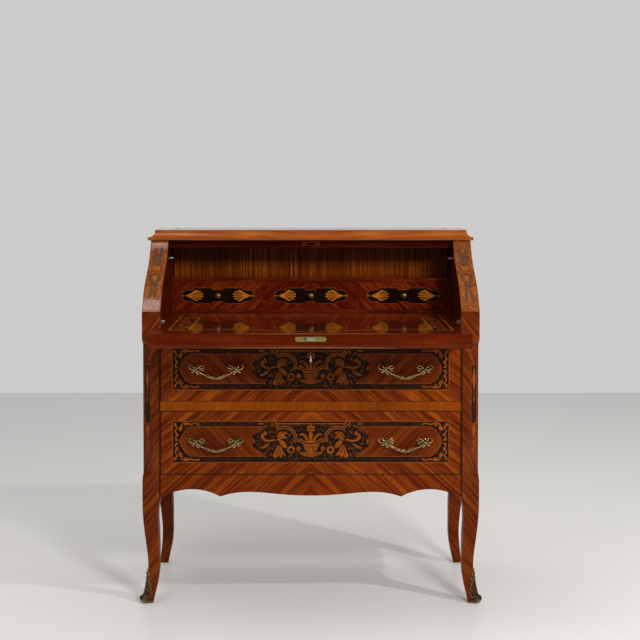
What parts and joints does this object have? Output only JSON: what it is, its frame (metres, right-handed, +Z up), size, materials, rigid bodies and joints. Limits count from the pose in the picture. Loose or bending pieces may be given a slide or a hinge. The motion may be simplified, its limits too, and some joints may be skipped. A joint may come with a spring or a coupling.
{
  "type": "slant-front writing desk",
  "caption": "Slant-front writing desk on cabriole legs, with an open fall, long drawers below, small drawers inside and inlaid kingwood veneer.",
  "frame": {"origin": "on the floor, under the middle of the desk and its open fall", "axes": "+Z up, +Y towards the back of the desk, +X to the right as seen from the front"},
  "size_m": [0.916, 0.7028, 0.993],
  "materials": {
    "kingwood": "glossy polished veneer, cross-banded",
    "striped_veneer": "striped veneer, satin polish",
    "plain_wood": "plain secondary wood, satin",
    "brass": "antique cast brass, worn bright on high spots",
    "steel": "smooth steel"
  },
  "bodies": {
    "carcass": {"top_board": "kingwood", "top_moulding": "kingwood", "right_cheek": "kingwood", "left_cheek": "kingwood", "right_front_leg": "kingwood", "left_front_leg": "kingwood", "right_rear_leg": "kingwood", "left_rear_leg": "kingwood", "right_side_panel": "kingwood", "left_side_panel": "kingwood", "front_apron": "kingwood", "right_apron": "kingwood", "left_apron": "kingwood", "mid_rail": "kingwood", "fall_rail": "kingwood", "stop_rail": "kingwood", "writing_board": "kingwood", "unit_base": "kingwood", "unit_ends": "kingwood", "unit_dividers": "kingwood", "unit_shelf": "kingwood", "compartment_back": "striped_veneer", "back_panel": "plain_wood", "back_rail": "plain_wood", "bottom_board": "plain_wood", "dust_board": "plain_wood", "drawer_runners": "plain_wood", "drawer_guides": "plain_wood", "right_sabot": "brass", "left_sabot": "brass", "fall_stop_pegs": "brass", "fall_pivot_pins": "brass", "fall_strike_plate": "brass"},
    "fall": {"fall_panel": "kingwood", "fall_lock": "brass", "fall_pivot_arms": "brass"},
    "fall_bolt": {"fall_lock_bolt": "steel"},
    "upper_drawer": {"upper_drawer_front": "kingwood", "upper_drawer_sides": "plain_wood", "upper_drawer_back": "plain_wood", "upper_drawer_bottom": "plain_wood", "upper_drawer_handles": "brass", "drawer_lock": "steel"},
    "lower_drawer": {"lower_drawer_front": "kingwood", "lower_drawer_sides": "plain_wood", "lower_drawer_back": "plain_wood", "lower_drawer_bottom": "plain_wood", "lower_drawer_handles": "brass"},
    "key": {"drawer_key": "steel"},
    "small_drawer_left": {"small_drawer_front_left": "kingwood", "small_drawer_box_left": "plain_wood", "small_drawer_knob_left": "brass"},
    "small_drawer_middle": {"small_drawer_front_middle": "kingwood", "small_drawer_box_middle": "plain_wood", "small_drawer_knob_middle": "brass"},
    "small_drawer_right": {"small_drawer_front_right": "kingwood", "small_drawer_box_right": "plain_wood", "small_drawer_knob_right": "brass"}
  },
  "joints": [
    {"name": "fall_hinge", "type": "hinge", "parent": "carcass", "child": "fall", "pos_m": [0, -0.05259, 0.755], "axis": [-1, 0, 0], "range_deg": [0, 141.22]},
    {"name": "fall_bolt_slide", "type": "slide", "parent": "fall", "child": "fall_bolt", "axis": [0, -1, 0], "range_m": [0, 0.008]},
    {"name": "upper_drawer_slide", "type": "slide", "parent": "carcass", "child": "upper_drawer", "axis": [0, -1, 0], "range_m": [0, 0.3]},
    {"name": "lower_drawer_slide", "type": "slide", "parent": "carcass", "child": "lower_drawer", "axis": [0, -1, 0], "range_m": [0, 0.3]},
    {"name": "key_turn", "type": "hinge", "parent": "upper_drawer", "child": "key", "pos_m": [0, -0.07859, 0.6655], "axis": [0, 1, 0], "range_deg": [0, 180]},
    {"name": "small_drawer_left_slide", "type": "slide", "parent": "carcass", "child": "small_drawer_left", "axis": [0, -1, 0], "range_m": [0, 0.08]},
    {"name": "small_drawer_middle_slide", "type": "slide", "parent": "carcass", "child": "small_drawer_middle", "axis": [0, -1, 0], "range_m": [0, 0.08]},
    {"name": "small_drawer_right_slide", "type": "slide", "parent": "carcass", "child": "small_drawer_right", "axis": [0, -1, 0], "range_m": [0, 0.08]}
  ]
}
